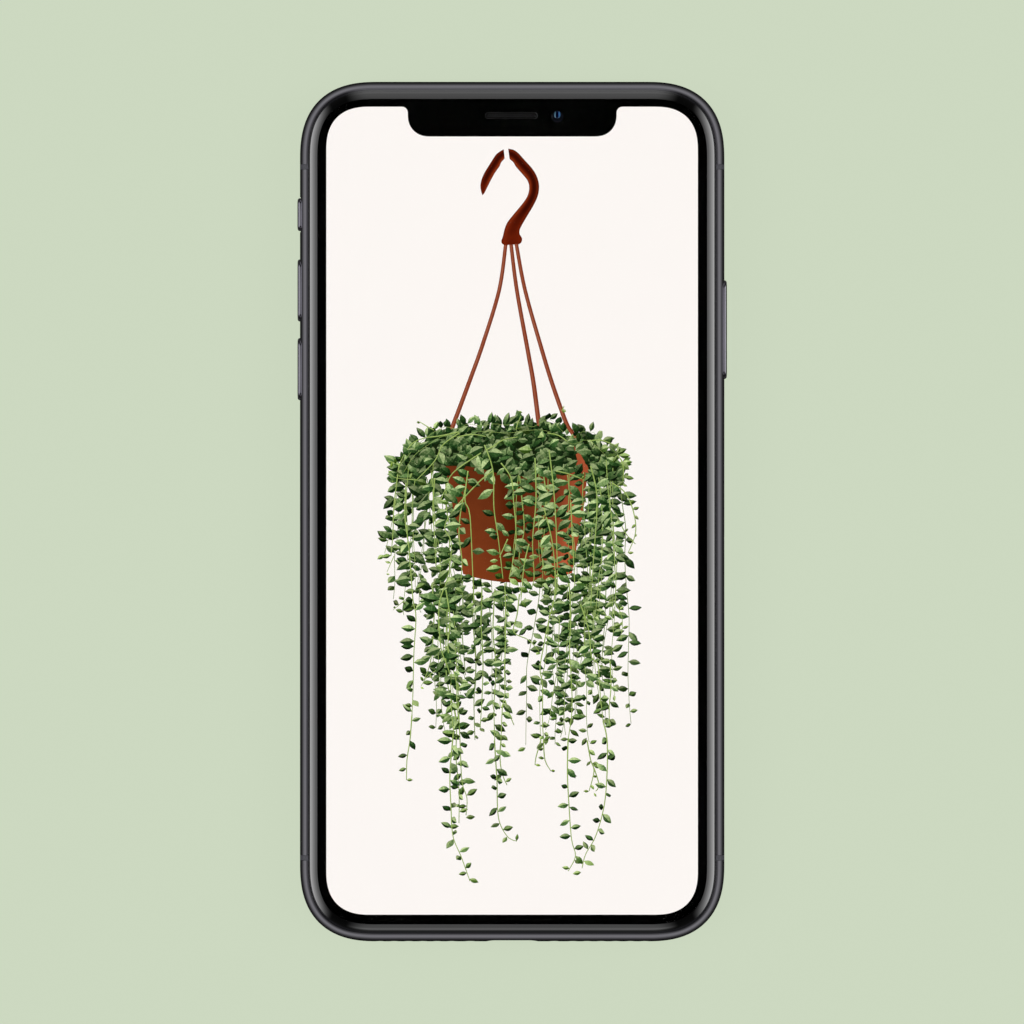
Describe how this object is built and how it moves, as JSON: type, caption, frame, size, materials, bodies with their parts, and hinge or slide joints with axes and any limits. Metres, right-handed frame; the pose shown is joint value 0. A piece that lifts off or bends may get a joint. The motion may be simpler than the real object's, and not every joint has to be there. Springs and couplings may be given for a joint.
{
  "type": "smartphone",
  "caption": "Slim pocket smartphone with a notched edge-to-edge screen, rounded metal band, side keys, mute switch, card tray, charging port and flush rear camera window.",
  "frame": {"origin": "middle of the outer flat face of the back glass, on the surface that the phone lies on", "axes": "+Z out of the screen, +Y towards the earpiece end, +X right as the user looks at the screen"},
  "size_m": [0.0718, 0.1436, 0.0077],
  "materials": {
    "graphite_steel": "polished dark coating",
    "antenna_plastic": "satin",
    "front_glass": "polished, black print under the border",
    "rear_glass": "polished dark",
    "screen": "lit screen",
    "mesh_metal": "fine mesh",
    "sheet_steel": "stamped sheet",
    "copper": "bare copper",
    "ferrite": "matt",
    "circuit_board": "solder mask",
    "battery_pouch": "foil pouch",
    "black_resin": "moulded",
    "flex_film": "polyimide film",
    "lens_glass": "coated lens",
    "flash_resin": "translucent",
    "card_plastic": "plain"
  },
  "bodies": {
    "phone": {"band_top": "graphite_steel", "band_bottom": "graphite_steel", "band_left": "graphite_steel", "band_right": "graphite_steel", "antenna_break_upper_left": "antenna_plastic", "antenna_break_upper_right": "antenna_plastic", "antenna_break_lower_left": "antenna_plastic", "antenna_break_lower_right": "antenna_plastic", "cover_glass": "front_glass", "back_glass": "rear_glass", "display_panel": "screen", "display_backplate": "sheet_steel", "display_flex": "flex_film", "earpiece_speaker": "black_resin", "earpiece_mesh": "mesh_metal", "front_camera": "black_resin", "front_camera_lens": "lens_glass", "face_sensor": "black_resin", "light_sensor": "black_resin", "volume_up_contact": "black_resin", "volume_down_contact": "black_resin", "side_contact": "black_resin", "mute_contact": "black_resin", "sim_reader": "sheet_steel", "port_shell": "sheet_steel", "port_tongue": "black_resin", "bottom_screw_left": "graphite_steel", "bottom_screw_right": "graphite_steel", "microphone_mesh": "mesh_metal", "loudspeaker_mesh": "mesh_metal", "camera_trim": "graphite_steel", "camera_glass": "rear_glass", "lens_cover_upper": "lens_glass", "lens_cover_lower": "lens_glass", "rear_camera_upper": "black_resin", "rear_camera_lower": "black_resin", "flash_lens": "flash_resin", "flash_board": "circuit_board", "chassis_plate": "sheet_steel", "charging_coil": "copper", "coil_shield": "ferrite", "battery": "battery_pouch", "battery_flex": "flex_film", "logic_board": "circuit_board", "processor": "black_resin", "shield_can_upper": "sheet_steel", "shield_can_lower": "sheet_steel", "radio_board": "circuit_board", "radio_shield": "sheet_steel", "loudspeaker": "black_resin", "vibration_motor": "sheet_steel", "microphone": "black_resin", "dock_board": "circuit_board"},
    "volume_up": {"volume_up_button": "graphite_steel"},
    "volume_down": {"volume_down_button": "graphite_steel"},
    "side_key": {"side_button": "graphite_steel"},
    "mute": {"mute_switch": "graphite_steel"},
    "tray": {"sim_tray": "graphite_steel", "sim_card": "card_plastic"}
  },
  "joints": [
    {"name": "volume_up_press", "type": "slide", "parent": "phone", "child": "volume_up", "axis": [1, 0, 0], "range_m": [0, 0.00025], "stiffness_N_per_m": 4000},
    {"name": "volume_down_press", "type": "slide", "parent": "phone", "child": "volume_down", "axis": [1, 0, 0], "range_m": [0, 0.00025], "stiffness_N_per_m": 4000},
    {"name": "side_press", "type": "slide", "parent": "phone", "child": "side_key", "axis": [-1, 0, 0], "range_m": [0, 0.00025], "stiffness_N_per_m": 4000},
    {"name": "mute_slide", "type": "slide", "parent": "phone", "child": "mute", "axis": [0, 0, -1], "range_m": [0, 0.0011]},
    {"name": "tray_slide", "type": "slide", "parent": "phone", "child": "tray", "axis": [1, 0, 0], "range_m": [0, 0.012]}
  ]
}
